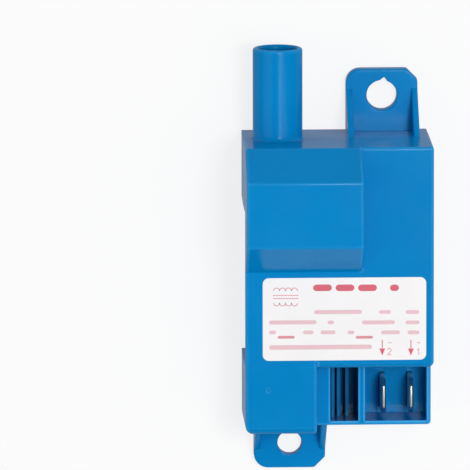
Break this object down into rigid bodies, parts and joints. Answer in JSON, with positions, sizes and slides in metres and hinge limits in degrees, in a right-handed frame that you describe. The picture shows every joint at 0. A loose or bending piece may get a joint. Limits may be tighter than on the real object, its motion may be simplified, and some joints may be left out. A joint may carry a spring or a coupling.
{
  "type": "ignition transformer",
  "caption": "Blue potted ignition module with a raised coil boss, a high voltage tower, a keyed socket with flat tabs and fixing lugs at both ends.",
  "frame": {"origin": "centre of the lower fixing hole, on the mounting face", "axes": "+Z out of the mounting surface towards the label face; +Y along the body towards the high voltage tower; +X across the body, towards the terminal tabs' side"},
  "size_m": [0.034, 0.0787, 0.0294],
  "materials": {
    "housing_plastic": "satin moulded blue",
    "potting_resin": "dull cast resin",
    "label_film": "satin white film with printed red marks",
    "tinned_brass": "tin plated, bright",
    "contact_brass": "turned brass",
    "copper_wire": "enamelled copper",
    "solder": "bright solder",
    "board_laminate": "glass fibre laminate",
    "bobbin_plastic": "moulded, natural",
    "ferrite": "dull dark grey",
    "capacitor_yellow": "moulded box",
    "varistor_coating": "epoxy coated",
    "black_epoxy": "moulded, dull",
    "glass_diode": "glass bead",
    "resistor_body": "cement coated"
  },
  "bodies": {
    "root": {"housing": "housing_plastic", "potting_compound": "potting_resin", "rating_label": "label_film", "terminal_tab_1": "tinned_brass", "terminal_tab_2": "tinned_brass", "high_voltage_contact": "contact_brass", "high_voltage_lead": "copper_wire", "circuit_board": "board_laminate", "solder_joints": "solder", "coil_bobbin": "bobbin_plastic", "ferrite_core": "ferrite", "primary_winding": "copper_wire", "secondary_winding": "copper_wire", "storage_capacitor": "capacitor_yellow", "suppression_capacitor": "capacitor_yellow", "varistor": "varistor_coating", "thyristor": "black_epoxy", "trigger_diode": "glass_diode", "rectifier_diode": "black_epoxy", "freewheel_diode": "black_epoxy", "dropping_resistor": "resistor_body", "gate_resistor": "resistor_body", "bleed_resistor": "resistor_body"}
  },
  "joints": []
}
